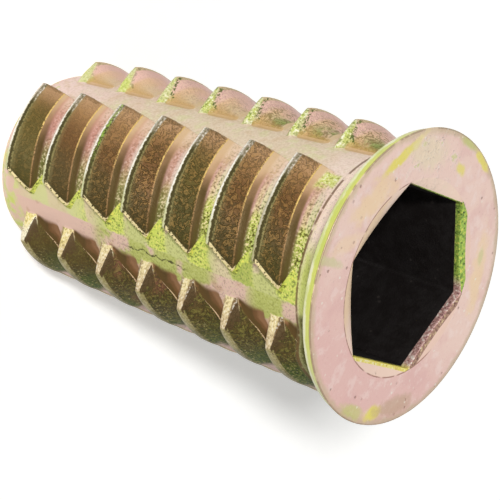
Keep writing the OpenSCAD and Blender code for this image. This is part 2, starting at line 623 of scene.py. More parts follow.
class ThreadTree(SizedTree):
    """Geometry nodes that repeat the net up the body, round it off and roll it up."""

    weld = 0.001
    rolled_weld = 0.004
    levels = 2
    all_outside = 0.999
    join_soft = 0.12
    flare_slope = 10.0

    def __init__(self, body: BodySizes, thread: ThreadSizes, first: FirstRidge) -> None:
        """Takes the tree's inputs from the sizes.

        Args:
            body: sizes of the casting.
            thread: sizes of the thread.
            first: how its first ridge runs in.
        """
        values = {
            "Pitch": thread.pitch,
            "Turns": thread.turns,
            "Core radius": body.core_r,
            "Taper": math.tan(math.radians(body.taper)),
            "Tip round": body.tip_round,
            "Neck foot": body.neck_z,
            "Neck height": body.neck_h,
            "Rim radius": body.rim_r,
            "Lowest": thread.from_z,
            "Highest": thread.to_z,
        }
        super().__init__("wood_thread", values)
        self.first = first

    def mesh(self, cage: Mesh) -> Mesh:
        """Makes the whole thread from its net."""
        return self.run(self.roll(self.round_off(self.repeat(self.start))), cage)

    def repeat(self, cage: NodeSocket) -> NodeSocket:
        """Sets the turns of ridges above one another, with a plain turn at either end.

        Args:
            cage: the net of one turn.

        Returns:
            The net of the whole thread, unrolled.
        """
        net, pitch, turns = self.net, self.size["Pitch"], self.size["Turns"]
        kept = net.named("plain_place", "FLOAT_VECTOR")
        plain = net.geo("SetPosition", {"Geometry": cage, "Position": kept})
        marked = {"Geometry": plain, "Name": "ridge_uv", "Value": (*PLAIN_UV, 0.0)}
        plain = net.geo("StoreNamedAttribute", marked, data_type="FLOAT2", domain="CORNER")
        start = net.join(0.0, pitch * -1.0, 0.0)
        apart = net.join(0.0, pitch * (turns + 1.0), 0.0)
        ends = net.geo("MeshLine", {"Count": 2, "Start Location": start, "Offset": apart})
        ridges = net.geo("MeshLine", {"Count": turns, "Offset": net.join(0.0, pitch, 0.0)})
        joined = net.node("GeometryNodeJoinGeometry")
        for line, item in ((ends, plain), (ridges, cage)):
            spread = net.geo("InstanceOnPoints", {"Points": line, "Instance": item})
            self.tree.links.new(spread, joined.inputs[0])
        whole = net.geo("RealizeInstances", {"Geometry": joined.outputs[0]})
        return net.geo("MergeByDistance", {"Geometry": whole, "Distance": self.weld})

    def round_off(self, cage: NodeSocket) -> NodeSocket:
        """Turns the net into a smooth cast surface with crisp edges."""
        inputs = {"Mesh": cage, "Level": self.levels, "Edge Crease": self.net.named("fold")}
        return self.net.geo("SubdivisionSurface", inputs)

    def roll(self, flat: NodeSocket) -> NodeSocket:
        """Rolls the unrolled surface round the axis, on the body's own profile.

        Args:
            flat: the smooth surface, unrolled.

        Returns:
            The thread in its place, in metres.
        """
        net, size, first = self.net, self.size, self.first
        angle, height, relief = net.split(net.geo("InputPosition"))
        outside = net.math("GREATER_THAN", size["Lowest"], height) + net.math(
            "GREATER_THAN", height, size["Highest"]
        )
        marked = net.geo(
            "StoreNamedAttribute",
            {"Geometry": flat, "Name": "outside", "Value": outside},
            data_type="FLOAT",
            domain="POINT",
        )
        flag = Field(net, net.named("outside"))
        chosen = {"Geometry": marked, "Selection": net.math("GREATER_THAN", flag, self.all_outside)}
        cut = net.geo("DeleteGeometry", chosen, domain="FACE", mode="ALL")
        plain_angle, _, _ = net.split(net.named("plain_place", "FLOAT_VECTOR"))
        angle = angle + (plain_angle - angle) * flag
        z = net.most(net.least(height, size["Highest"]), size["Lowest"])
        start = net.ramp(angle, *first.angles) * net.ramp(z - angle * first.climb, *first.heights)
        relief = relief * (1.0 - start * first.lowered)
        drawn_in = net.most(size["Tip round"] - z, 0.0)
        square = size["Tip round"] * size["Tip round"] - drawn_in * drawn_in
        tip = size["Tip round"] - net.math("SQRT", square)
        body = size["Core radius"] + z * size["Taper"] - tip
        neck_r = size["Core radius"] + size["Neck foot"] * size["Taper"]
        up = net.most(z - size["Neck foot"], 0.0) / size["Neck height"]
        bow = net.math("SQRT", net.most(1.0 - up * up, 0.0))
        flare = size["Rim radius"] - (size["Rim radius"] - neck_r) * bow
        flare = net.least(flare, flare + (z - size["Neck foot"]) * self.flare_slope)
        radius = net.math("SMOOTH_MAX", body + relief, flare, self.join_soft) * MM
        around = angle * math.radians(1.0)
        x, y = radius * net.math("COSINE", around), radius * net.math("SINE", around)
        placed = net.geo("SetPosition", {"Geometry": cut, "Position": net.join(x, y, z * MM)})
        return net.geo("MergeByDistance", {"Geometry": placed, "Distance": self.rolled_weld * MM})


class Shell:
    """The rings that close the casting: tip, bore, socket, face, rim and neck."""

    neck_rings = 10
    rim_shares = (0.35, 0.7)
    face_rings = ((8.5, 0.2), (7.9, 0.4), (7.3, 0.6), (6.7, 0.8), (6.2, 1.0))
    socket_depths = (0.35, 0.6, 1.2, 3.0, 6.0, 9.8)
    floor_edge = 0.2
    sink_edge = 0.03
    bore_rings = 9
    tip_rings = 12
    # shares of a rounding by which its middle ring and its end rings draw back from the edge
    corner, inside = 0.3, 0.1
    sides = 6

    def __init__(self, body: BodySizes, thread: ThreadSizes, angles: np.ndarray) -> None:
        """Spreads the hexagon's columns evenly over its sides, with one at each corner.

        Args:
            body: sizes of the casting.
            thread: sizes of the thread, which the rings go on from.
            angles: the thread's own column angles, which set the first corner.
        """
        self.body = body
        self.thread = thread
        self.angles = angles
        side, count = FULL_TURN / self.sides, len(angles)
        corner = math.ceil(angles[0] / side) * side
        first = int(np.argmin(np.abs(angles - corner)))
        laps = np.arange(-1, self.sides + 2)
        stops = np.round(first + laps * count / self.sides)
        self.inner = np.interp(np.arange(count), stops, corner + laps * side)
        self.made: list[tuple[str, np.ndarray, np.ndarray, np.ndarray]] = []

    def ring(self, part: str, turn: float, radius: object, height: object) -> None:
        """Adds a ring.

        Args:
            part: the part that it begins.
            turn: moves its columns from the thread's, at 0, to the hexagon's, at 1.
            radius: its radius, or one for each column.
            height: its height, or one for each column.
        """
        where = self.angles + (self.inner - self.angles) * turn
        shape = np.ones(len(where))
        self.made.append((part, where, shape * radius, shape * height))

    def rings(self) -> list[tuple[str, np.ndarray, np.ndarray, np.ndarray]]:
        """Lays out the rings from the neck inwards, down the hollow and round the tip.

        Returns:
            For each ring the part it begins, its angles, radii and heights.
        """
        b, ring = self.body, self.ring
        self.neck()
        soft, corner, inside = b.rim_round, self.corner * b.rim_round, self.inside * b.rim_round
        ring("rim", 0, b.rim_r - corner, b.rim_z + inside)
        ring("rim", 0, b.rim_r + corner, b.rim_z + soft)
        for share in self.rim_shares:
            ring("rim", 0, b.rim_r + b.rim_draft * share, b.rim_z + b.flange_h * share)
        ring("rim", 0, b.flange_r - inside, b.height - soft)
        ring("rim", 0, b.flange_r - corner, b.height - corner)
        ring("face", 0, b.flange_r - soft, b.height)
        for radius, turn in self.face_rings:
            ring("face", turn, radius, b.height)
        self.socket()
        for turn in np.linspace(1, 0, self.bore_rings):
            length = b.hex_z - 2 * b.bore_chamfer
            ring("bore", turn, b.groove_r, b.bore_chamfer + length * turn)
        self.tip()
        return self.made

    def neck(self) -> None:
        """Adds the rings of the neck's flare above the thread."""
        b = self.body
        neck_r = b.body_r(b.neck_z)
        start = math.asin((self.thread.to_z - b.neck_z) / b.neck_h)
        for up in np.sin(np.linspace(start, math.pi / 2, self.neck_rings))[1:-1]:
            bow = math.sqrt(1 - up * up)
            self.ring("neck", 0, b.rim_r - (b.rim_r - neck_r) * bow, b.neck_z + b.neck_h * up)
        self.ring("neck", 0, b.rim_r - 2 * b.rim_round, b.rim_z)

    def socket(self) -> None:
        """Adds the rings of the countersink, the hexagon and its floor."""
        b, ring = self.body, self.ring
        slope, edge = math.tan(math.radians(b.sink_slope)), self.sink_edge
        ring("face", 1, b.sink_r + edge, b.height)
        side = FULL_TURN / self.sides
        edge_r = b.hex_af / 2 / np.cos(np.radians(self.inner % side - side / 2))
        ring("sink", 1, b.sink_r - edge, b.height - edge * slope)
        for share in (0.5, 1.0):
            radius = b.sink_r - (b.sink_r - edge_r - b.hex_round) * share
            ring("sink", 1, radius, b.height - (b.sink_r - radius) * slope)
        edge_z = b.height - (b.sink_r - edge_r) * slope
        corner = self.corner * b.hex_round
        ring("socket", 1, edge_r + corner, edge_z - corner)
        ring("socket", 1, edge_r, edge_z - b.hex_round)
        for depth in self.socket_depths:
            ring("socket", 1, edge_r, b.height - depth)
        for radius in (
            edge_r - self.floor_edge,
            (edge_r + b.groove_r) / 2,
            b.groove_r + b.bore_chamfer,
        ):
            ring("floor", 1, radius, b.hex_z)

    def tip(self) -> None:
        """Adds the rings from the bore's mouth round the tip to the thread."""
        b = self.body
        self.ring("tip", 0, b.groove_r + b.bore_chamfer, 0.0)
        centre = b.body_r(b.tip_round) - b.tip_round
        low = math.asin((self.thread.from_z - b.tip_round) / b.tip_round)
        for turned in np.linspace(-math.pi / 2, low, self.tip_rings)[:-1]:
            radius = centre + b.tip_round * math.cos(turned)
            self.ring("tip", 0, radius, b.tip_round * (1 + math.sin(turned)))


class Casting:
    """The whole casting: the wood thread, the head and the hollow, as one closed mesh."""

    column_slack = 0.1
    first_slack = 0.01
    films = {
        **dict.fromkeys(("neck", "tip"), 0),
        **dict.fromkeys(("rim", "face", "sink"), 1),
        **dict.fromkeys(("socket", "floor", "bore"), 2),
    }

    def __init__(self, body: BodySizes, thread: ThreadSizes) -> None:
        """Keeps the sizes of the casting."""
        self.body = body
        self.thread = thread

    def end_ring(self, thread: bmesh.types.BMesh, upper: bool) -> tuple[list, np.ndarray]:
        """Finds the open ring at one end of the thread.

        Args:
            thread: the rolled thread.
            upper: the end under the head, or else the one at the tip.

        Returns:
            Its vertices in order of angle, and their angles in degrees.
        """
        middle = self.body.height / 2 * MM
        found = [v for v in thread.verts if v.is_boundary and (v.co.z > middle) == upper]
        angles = np.degrees([math.atan2(v.co.y, v.co.x) for v in found])
        first = NARROW.strip_to - HALF_TURN - self.first_slack
        angles = (angles - first) % FULL_TURN + first
        order = np.argsort(angles)
        return [found[i] for i in order], angles[order]

    def mesh(self) -> Mesh:
        """Builds the thread, closes it with the rings and joins both.

        Returns:
            The closed mesh, its faces outwards.
        """
        cage = ThreadCage(self.body, self.thread).mesh()
        made = bmesh.new()
        made.from_mesh(ThreadTree(self.body, self.thread, FirstRidge()).mesh(cage))
        uv = made.loops.layers.uv["ridge_uv"]
        before, angles = self.end_ring(made, True)
        last, low_angles = self.end_ring(made, False)
        count = len(before)
        LOG.info("thread: %d faces, %d and %d columns", len(made.faces), count, len(last))
        if count != len(last) or np.abs(angles - low_angles).max() > self.column_slack:
            raise ValueError("the ends of the thread have different columns")
        rows: list[tuple[str, list]] = []
        for part, where, radius, height in Shell(self.body, self.thread, angles).rings():
            turned = np.radians(where)
            xyz = np.stack([radius * np.cos(turned), radius * np.sin(turned), height], 1) * MM
            rows.append((part, [made.verts.new(point) for point in xyz]))
        for part, row in rows + [("tip", last)]:
            for j in range(count):
                k = (j + 1) % count
                face = made.faces.new((before[j], before[k], row[k], row[j]))
                face.material_index = self.films[part]
                for loop in face.loops:
                    loop[uv].uv = PLAIN_UV
            before = row
        bmesh.ops.recalc_face_normals(made, faces=made.faces)
        for face in made.faces:
            face.smooth = True
        mesh = bpy.data.meshes.new("insert_casting")
        made.to_mesh(mesh)
        made.free()
        return mesh


@dataclass(frozen=True)
class BoltThreadSizes:
    """Sizes of the fine thread in the bore, in millimetres."""

    pitch: float = 1.25
    from_z: float = 0.55
    to_z: float = 19.45
    root_r: float = 4.05
    crest_r: float = 3.4
    root_half: float = 0.54
    crest_half: float = 0.12
    steps: int = 40
    run_out: float = 0.03
    thinnest: float = 0.02


class BoltThread(SizedTree):
    """The fine thread inside the bore, swept along a spiral by geometry nodes."""

    def __init__(self, size: BoltThreadSizes) -> None:
        """Takes the tree's inputs from the thread's sizes.

        Args:
            size: sizes of the fine thread.
        """
        height = size.to_z - size.from_z
        values = {
            "Turns": height / size.pitch,
            "Root radius": size.root_r * MM,
            "Height": height * MM,
            "Start": size.from_z * MM,
        }
        super().__init__("bolt_thread", values)
        self.sizes = size

    def mesh(self, film: Material) -> Mesh:
        """Sweeps the thread's section along its spiral.

        Args:
            film: the finish of the bore.

        Returns:
            One closed mesh.
        """
        net, given, size = self.net, self.size, self.sizes
        spiral = net.geo(
            "CurveSpiral",
            {
                "Resolution": size.steps,
                "Rotations": given["Turns"],
                "Start Radius": given["Root radius"],
                "End Radius": given["Root radius"],
                "Height": given["Height"],
                "Reverse": True,
            },
        )
        upright = net.geo("SetCurveNormal", {0: spiral}, mode="Z_UP")
        along = Field(net, net.geo("SplineParameter"))
        thin, out = size.thinnest, size.run_out
        ends = net.ramp(along, 0.0, out, thin) * net.ramp(along, 1.0, 1.0 - out, thin)
        tapered = net.geo("SetCurveRadius", {"Curve": upright, "Radius": ends})
        section = net.node("GeometryNodeCurvePrimitiveQuadrilateral", mode="POINTS")
        inward = (0.0, 0.0, size.root_r - size.crest_r, size.root_r - size.crest_r)
        upward = (-size.root_half, size.root_half, size.crest_half, -size.crest_half)
        for number, (x, y) in enumerate(zip(inward, upward), 1):
            net.put(section.inputs[f"Point {number}"], (x * MM, y * MM, 0.0))
        profile = {"Profile Curve": section.outputs[0], "Scale": ends, "Fill Caps": True}
        swept = net.geo("CurveToMesh", {"Curve": tapered, **profile})
        start = net.join(0.0, 0.0, given["Start"])
        lifted = net.geo("Transform", {"Geometry": swept, "Translation": start})
        mesh = self.run(lifted, bpy.data.meshes.new("empty"), film)
        made = bmesh.new()
        made.from_mesh(mesh)
        bmesh.ops.recalc_face_normals(made, faces=made.faces)
        made.to_mesh(mesh)
        made.free()
        return mesh


def ink(red: float, green: float, blue: float) -> Ink:
    """Turns a colour of 0 to 255 a part into the shader's own values."""
    parts = (value / 255.0 for value in (red, green, blue))
    return (*(v / 12.92 if v <= 0.04045 else ((v + 0.055) / 1.055) ** 2.4 for v in parts), 1.0)


PINK = ink(218, 184, 168)
PALE_PINK = ink(232, 208, 200)
DEEP_PINK = ink(196, 132, 130)
CLAY = ink(178, 138, 104)
SAND = ink(206, 176, 138)
TAN = ink(204, 180, 142)
GREY_TAN = ink(216, 202, 172)
BRONZE = ink(164, 126, 84)
BROWN = ink(100, 70, 38)
UMBER = ink(80, 63, 30)
DARK_BROWN = ink(78, 60, 36)
OLIVE = ink(84, 78, 32)
LIGHT_OLIVE = ink(158, 146, 96)
DARK_OLIVE = ink(62, 56, 28)
MOSS = ink(138, 148, 82)
GREEN = ink(80, 98, 38)
DARK_GREEN = ink(38, 46, 20)
FRESH_GREEN = ink(150, 184, 78)
LIME = ink(196, 208, 98)
PALE_LIME = ink(206, 206, 146)
YELLOW = ink(236, 222, 104)
GOLD = ink(222, 190, 112)
CREAM = ink(226, 208, 156)
OCHRE = ink(190, 152, 92)
WHITE = ink(246, 242, 228)
BLACK = ink(26, 22, 21)
WARM = ink(244, 214, 172)
STRIP_LIME = ink(180, 184, 102)
TIP_LIME = ink(204, 206, 134)
PALE_SAND = ink(224, 200, 176)
GLEAM = ink(220, 202, 194)
ROSY = ink(202, 156, 152)
RUSSET = ink(138, 100, 68)
LIGHT_BRONZE = ink(192, 156, 120)
GRAIN_BRONZE = ink(140, 106, 58)
GLINT_BRONZE = ink(156, 120, 64)
EARTH = ink(84, 69, 36)
DEEP_OLIVE = ink(80, 80, 22)
RUST = ink(124, 76, 62)
FERN = ink(64, 88, 22)
GRAIN_OLIVE = ink(144, 136, 66)
GLINT_OLIVE = ink(136, 136, 66)
ROSE = ink(222, 182, 168)
HONEY = ink(214, 178, 128)
CURL_OLIVE = ink(120, 104, 56)
CREST_OLIVE = ink(128, 118, 74)
CREST_LIME = ink(192, 194, 122)
NECK_PINK = ink(242, 219, 204)
BUTTER = ink(236, 222, 186)
FAWN = ink(198, 166, 136)
FACE_PINK = ink(242, 210, 196)
FACE_ROSE = ink(232, 188, 180)
FACE_BLUSH = ink(226, 182, 176)
FACE_PALE = ink(248, 226, 218)
RIM_TAN = ink(194, 176, 132)
PIT_BROWN = ink(160, 116, 100)
DEEP_BLUSH = ink(190, 140, 126)
SINK_PINK = ink(246, 218, 196)
SINK_GOLD = ink(236, 204, 156)
SINK_ROSE = ink(236, 202, 184)
LINE_BROWN = ink(150, 96, 76)
MAUVE = ink(160, 124, 106)
DARK_MAUVE = ink(78, 44, 42)
RIM_LIME = ink(208, 212, 100)
RIM_OLIVE = ink(178, 176, 128)
DARK_GREY = ink(62, 56, 52)
BAND_PINK = ink(190, 146, 138)
BAND_DARK = ink(78, 40, 44)
BORE_BROWN = ink(64, 52, 40)

# the way across the axis to the side turned from the light
FAR_SIDE = (-0.94, -0.34)


class Finish:
    """A chromate finish, painted in layers on the casting."""

    speck_edge = (0.42, 0.2)
    curl_edge = (0.075, 0.012)
    pits = (0.5, 0.3)
    ridges = (0.5, 0.72)

    def __init__(self, name: str) -> None:
        """Makes the material and reads where the surface is, in millimetres.

        Args:
            name: the material's name.
        """
        self.material, self.net, self.shader = new_paint(name)
        coord = self.net.node("ShaderNodeTexCoord").outputs["Object"]
        self.place = self.net.vector("MULTIPLY", coord, (1 / MM, 1 / MM, 1 / MM))
        self.x, self.y, self.z = self.net.split(self.place)
        self.color: NodeSocket | None = None

    def noise(
        self, size: float, seed: float, detail: float = 3.0, rough: float = 0.55, twist: float = 0.0
    ) -> Field:
        """Cloudy noise.

        Args:
            size: how large its clouds are, in millimetres.
            seed: shifts the pattern.
            detail: how many finer layers it has.
            rough: how strong the finer layers are.
            twist: how much the pattern is bent on itself.

        Returns:
            The noise, about 0.5 on average.
        """
        moved = self.net.vector("ADD", self.place, (seed, seed * 0.7, -seed))
        inputs = {"Vector": moved, "Scale": 1.0 / size, "Detail": detail, "Roughness": rough}
        made = self.net.node("ShaderNodeTexNoise", {**inputs, "Distortion": twist})
        return Field(self.net, made.outputs[0])

    def specks(self, size: float, seed: float, share: float) -> Field:
        """Mask of small round specks.

        Args:
            size: how large the cells are, in millimetres.
            seed: shifts the pattern.
            share: the share of the cells that hold a speck.

        Returns:
            The mask.
        """
        net = self.net
        moved = net.vector("ADD", self.place, (seed, -seed, seed * 0.5))
        made = net.node("ShaderNodeTexVoronoi", {"Vector": moved, "Scale": 1.0 / size})
        chosen, _, _ = net.split(made.outputs["Color"])
        near = net.ramp(Field(net, made.outputs["Distance"]), *self.speck_edge)
        return near * net.ramp(chosen, share + 0.02, share)

    def curls(self, noise: Field) -> Field:
        """Mask of the short curled ridges of the grainy cast skin, from a twisted noise."""
        return self.net.ramp(self.net.math("ABSOLUTE", noise - 0.5), *self.curl_edge)

    def toward(self, way: tuple[float, float]) -> Field:
        """How far a point lies along a way across the axis."""
        return self.x * way[0] + self.y * way[1]

    def mask(self, *parts: Operand | tuple, **spans: tuple[float, ...]) -> Field:
        """Multiplies masks, plain levels and spans.

        A span is where a value rises from 0 to 1, and what it rises from and to if that
        differs. With three numbers it is a band: its two edges and its softness.

        Args:
            parts: masks, levels, and values with their spans.
            spans: spans of the film's own values, by name.

        Returns:
            The product.
        """
        made = []
        for part in (*parts, *((getattr(self, name), *span) for name, span in spans.items())):
            if isinstance(part, tuple):
                part = (self.net.band if len(part) == 4 else self.net.ramp)(*part)
            made.append(part)
        return math.prod(made[1:], start=made[0])

    def over(self, color: Ink, *parts: Operand, **spans: tuple[float, ...]) -> None:
        """Lays a colour over those below it. The first one is the ground and needs no mask.

        Args:
            color: the colour.
            parts: parts of the mask, as mask takes them.
            spans: spans of the film's own values, by name.
        """
        if self.color is None:
            self.color = self.net.node("ShaderNodeRGB").outputs[0]
            self.color.default_value = color
            return
        inputs = {0: self.mask(*parts or (1.0,), **spans), 6: self.color, 7: color}
        self.color = self.net.node("ShaderNodeMix", inputs, data_type="RGBA").outputs[2]

    def grained(self, dark: Ink, light: Ink, *parts: Operand, **spans: tuple[float, ...]) -> None:
        """Lays the grain of the cast skin, dark in its pits and light on its ridges.

        Args:
            dark: colour of the pits.
            light: colour of the ridges.
            parts: parts of the mask, as mask takes them.
            spans: spans of the film's own values, by name.
        """
        where = self.mask(*parts, **spans)
        self.over(dark, where, fine=self.pits)
        self.over(light, where, fine=self.ridges)

    def finish(self, metal: float, rough: Operand, height: Field, relief: float) -> None:
        """Links the paint, the roughness and the fine relief to the shader.

        Args:
            metal: how metallic the film looks.
            rough: its roughness.
            height: the fine relief, from 0 to 1.
            relief: its full height, in millimetres.
        """
        inputs = {"Height": height, "Distance": relief * MM, "Strength": 1.0}
        bump = self.net.node("ShaderNodeBump", inputs).outputs[0]
        wanted = {"Base Color": self.color, "Roughness": rough, "Normal": bump, "Metallic": metal}
        for name, value in wanted.items():
            self.net.put(self.shader.inputs[name], value)


class ThreadFilm(Finish):
    """The film on the body and the wood thread, which follows the ridges."""

    low_side = 300.0
    crack_at = 154.0

    def __init__(self) -> None:
        """Reads the ridge coordinates and paints the layers."""
        super().__init__("film_thread")
        net = self.net
        self.u, self.v, _ = net.split(net.node("ShaderNodeUVMap", uv_map="ridge_uv").outputs[0])
        row = Field(net, net.node("ShaderNodeAttribute", attribute_name="wide_row").outputs["Fac"])
        self.wide = self.mask((row, 0.2, 0.8))
        self.narrow = 1.0 - self.wide
        self.across = net.math("ABSOLUTE", self.u)
        self.ridge = self.mask(across=(1.12, 1.0))
        self.lead, self.trail = self.mask(u=(0.1, -0.1)), self.mask(u=(-0.1, 0.1))
        turn = net.math("ARCTAN2", self.y, self.x)
        self.turned = turn * (HALF_TURN / math.pi)
        # low is 1 on the strips that lie lower in the view and high on those above them; the paler
        # pink laid on the high side is painted light, the lime and grey tints by side are the
        # film's own
        low = net.math("COSINE", turn * 2.0 - math.radians(self.low_side))
        self.low, self.high = self.mask((low, -0.1, 0.7)), self.mask((low, 0.1, -0.7))
        self.grainy = self.mask(z=(6.0, 15.0, 0.35, 1.0))
        self.patch = self.noise(size=2.6, seed=3.0)
        self.spot = self.noise(size=0.9, seed=11.0)
        curl = self.noise(size=0.25, seed=5.0, detail=1.0, rough=0.4, twist=0.8)
        self.grain = self.curls(curl)
        self.glint = net.band(curl, 0.59, 0.64, 0.04)
        self.fine = self.noise(size=0.15, seed=21.0, detail=1.0, rough=0.6)
        self.drift = self.u + (self.patch - 0.5) * 0.8
        self.parted = self.u + (self.spot - 0.5) * 0.5
        self.side = self.mask(self.ridge, v=(4.0, 5.97, 0.04))
        self.strips()
        self.hollows()
        self.narrow_sides()
        self.lead_sides()
        self.trail_sides()
        self.ends()
        self.crests()
        self.lines()
        self.neck()
        skin = self.mask(self.grain, self.side, self.grainy, 0.6) + self.fine * 0.35
        rough = self.mask(patch=(0.3, 0.7, 0.38, 0.48)) + self.side * 0.1
        self.finish(metal=0.2, rough=rough, height=skin, relief=0.04)
        self.shader.inputs["Specular IOR Level"].default_value = 0.12

    def strips(self) -> None:
        """Paints the smooth strips between the rows, and the tip."""
        net = self.net
        self.over(PINK)
        # paler pink on the high side: painted light
        self.over(PALE_PINK, self.high, 0.8, z=(12.0, 2.0))
        self.over(CLAY, self.low, 0.5, spot=(0.56, 0.7))
        back = self.high * net.ramp(self.z + self.patch * 12.0, 9.0, 17.0)
        self.over(GREY_TAN, back, 0.7)
        self.over(PALE_LIME, back, 0.45, spot=(0.5, 0.66))
        self.over(SAND, self.high, 0.4, spot=(0.46, 0.34))
        olive = net.band(self.z, 11.0, 19.8, 1.5) + net.ramp(self.z, 22.4, 24.2)
        self.over(STRIP_LIME, olive, self.low, patch=(0.4, 0.5))
        wander = (self.spot - 0.5) * 1.6
        near = net.band(self.u + wander * 0.4, 2.0, 2.9, 0.2)
        self.over(PALE_LIME, self.low, near, 0.5, z=(1.5, 4.0))
        after = net.band(self.u + wander * 0.6, 1.2, 2.8, 0.2)
        after = self.mask(after, self.low, (self.v + wander, 5.2, 8.7, 1.2))
        self.over(PALE_LIME, after, 0.9, z=(1.5, 4.0))
        belt = self.mask(z=(7.5, 11.0))
        self.over(LIME, after, belt)
        self.grained(MOSS, YELLOW, after, belt, 0.8)
        self.grained(OLIVE, PALE_LIME, self.low, belt, 0.35)
        self.over(PALE_PINK, self.high, 0.6, z=(24.4, 26.4))
        self.over(OCHRE, back, 0.25, turned=(64.0, 54.0))
        self.grained(LIGHT_OLIVE, WHITE, self.high, 0.2)
        tip = self.mask(z=(1.9, 1.2))
        self.over(PALE_PINK, tip, 0.5)
        self.over(YELLOW, tip, self.low, 0.7, patch=(0.5, 0.62))
        spread = self.mask((self.z + self.patch, 1.7, 3.0, 0.5), spot=(0.4, 0.54))
        self.over(TIP_LIME, self.low, spread, 0.85)
        self.over(PINK, self.high, tip, 0.6)
        self.over(MOSS, after, (self.z, 25.0, 23.5), 0.5, z=(19.5, 21.0))
        self.over(LIME, 0.8, z=(0.9, 2.0, 0.4), spot=(0.52, 0.62))

    def hollows(self) -> None:
        """Paints the hollows between the ridges, pale toward the next crest as a painted highlight.
        """
        net = self.net
        along = self.mask(across=(1.45, 1.0))
        root = net.most(net.band(self.v, 6.0, 10.2, 0.08), net.ramp(self.v, 1.2, 1.0)) * along
        root = root * (1.0 - self.mask(self.wide, parted=(-0.1, 0.2)))
        self.over(SAND, root)
        self.over(CLAY, root, drift=(-1.0, -0.1), v=(9.0, 7.6))
        self.over(DEEP_PINK, root, 0.5, v=(7.0, 7.9, 0.6), z=(15.0, 9.0))
        near = self.mask(v=(8.1, 6.7))
        self.over(UMBER, root, (self.drift + near * 0.75, 0.0, 0.9), near)
        # pale pink toward the next crest: painted highlight
        self.over(PALE_PINK, root, 0.75, v=(7.8, 9.2))
        lower = self.mask(self.narrow, u=(-0.1, 0.75), v=(7.4, 9.2, 0.5))
        self.over(MOSS, root, lower, 0.75)
        self.over(GREEN, root, lower, 0.5, z=(8.0, 6.0))
        limed = self.mask(z=(16.0, 19.0), u=(-0.7, 0.0), v=(7.6, 9.4, 0.5))
        self.over(LIME, root, limed, self.narrow, 0.8)
        pale = self.mask(root, self.narrow, u=(-0.4, -0.9), v=(7.2, 9.4, 0.5))
        self.over(PALE_SAND, pale, 0.5)
        gleam = self.mask(root, self.narrow, u=(-0.4, 0.1, 0.25))
        self.over(GLEAM, gleam, 0.45, v=(8.1, 9.2, 0.3))
        rosy = self.mask(gleam, v=(7.2, 8.0, 0.3), z=(9.0, 20.0, 0.15, 0.6))
        self.over(ROSY, rosy)
        self.over(OLIVE, root, self.narrow, limed, 0.5, v=(9.0, 9.6))
        foot = self.mask(root, self.narrow, u=(0.4, 0.8))
        self.over(OLIVE, foot, 0.45, v=(6.6, 7.9, 0.5))
        self.over(FRESH_GREEN, foot, 0.55, v=(8.0, 9.0))
        self.grained(UMBER, PALE_PINK, root, self.narrow, 0.35, v=(6.8, 7.6))
        self.grained(OLIVE, CREAM, root, lower + limed, self.narrow, 0.6)
        before = self.mask(self.wide, along, parted=(0.2, -0.1))
        self.over(CLAY, before, 0.7, v=(6.0, 9.9, 0.1))
        beside = self.mask(self.wide, (self.u, -2.3, -1.9), u=(-0.9, -1.0))
        shaded = net.most(before, beside)
        down = self.v + (self.spot - 0.5) * 2.0
        self.over(RUSSET, shaded, (down, 5.1, 9.4, 0.5))
        shaded = self.mask(shaded, (down, 5.0, 5.5), 0.8)
        self.over(BROWN, shaded, (down, 8.2, 7.2))
        self.over(UMBER, shaded, (down, 7.2, 6.4))

    def narrow_sides(self) -> None:
        """Paints the sloping sides of the narrow rows, lighter toward their upper ends and darker
        toward their lower ends as painted light and shade.
        """
        net = self.net
        flank = self.mask(self.side, self.narrow)
        self.over(BRONZE, flank)
        # the bronze ground stays at the upper end, brown and then umber take over toward the lower
        # end: painted light above, painted shade below
        self.over(BROWN, flank, drift=(-0.9, -0.05))
        self.over(UMBER, flank, drift=(0.0, 0.7))
        olive = net.most(net.band(self.z, 17.0, 19.6, 1.2), net.ramp(self.z, 5.6, 4.2))
        self.over(OLIVE, flank, olive, 0.75, u=(-1.0, -0.3))
        self.over(OLIVE, flank, 0.6, z=(22.0, 24.5), u=(0.4, 0.7))
        # lighter again at the upper end and darker at the lower end: painted light and shade
        self.over(LIGHT_BRONZE, flank, 0.55, u=(-0.55, -0.95))
        self.over(DARK_OLIVE, flank, 0.42, drift=(0.0, 0.6))
        self.over(LIGHT_OLIVE, flank, 0.15, v=(4.0, 4.3, 0.25))
        skin = flank * self.grainy
        self.grained(DARK_OLIVE, GRAIN_BRONZE, skin, 0.35)
        self.over(DARK_OLIVE, skin, self.grain, 0.5)
        self.over(GLINT_BRONZE, skin, self.glint, 0.32)

    def lead_sides(self) -> None:
        """Paints the sloping sides of the wide rows up to the parting line, dark olive and brown:
        partly the film's own tint, partly painted shade of the row that faces down in the view.
        """
        net = self.net
        under = self.mask(self.side, self.wide)
        # dark ground: partly the film's tint, partly painted shade
        self.over(EARTH, under)
        self.over(DEEP_OLIVE, under, 0.75, drift=(-0.8, -0.2))
        self.over(UMBER, under, (self.v + self.patch, 5.3, 6.1), 0.6)
        self.over(GREEN, under, 0.6, v=(4.3, 5.1, 0.3), drift=(-0.5, 0.0))
        self.over(RUST, under, 0.55, z=(9.0, 18.0, 2.0), patch=(0.44, 0.56), v=(4.4, 5.2))
        mossy = net.band(self.z, 6.0, 9.0, 1.5) + net.ramp(self.z, 19.0, 22.5)
        self.over(FERN, under, mossy, 0.6, drift=(-0.85, -0.4))
        skin = under * self.grainy
        self.grained(DARK_GREEN, GRAIN_OLIVE, skin, 0.35)
        self.over(DARK_GREEN, skin, self.grain, 0.4)
        self.over(GLINT_OLIVE, skin, self.glint, 0.3)
        nearer = self.mask(under, v=(4.1, 4.9, 0.2), u=(-0.9, -0.6))
        self.over(LIGHT_OLIVE, nearer, 0.8, fine=(0.6, 0.7))
        self.over(DARK_GREEN, nearer, 0.8, fine=(0.42, 0.34))

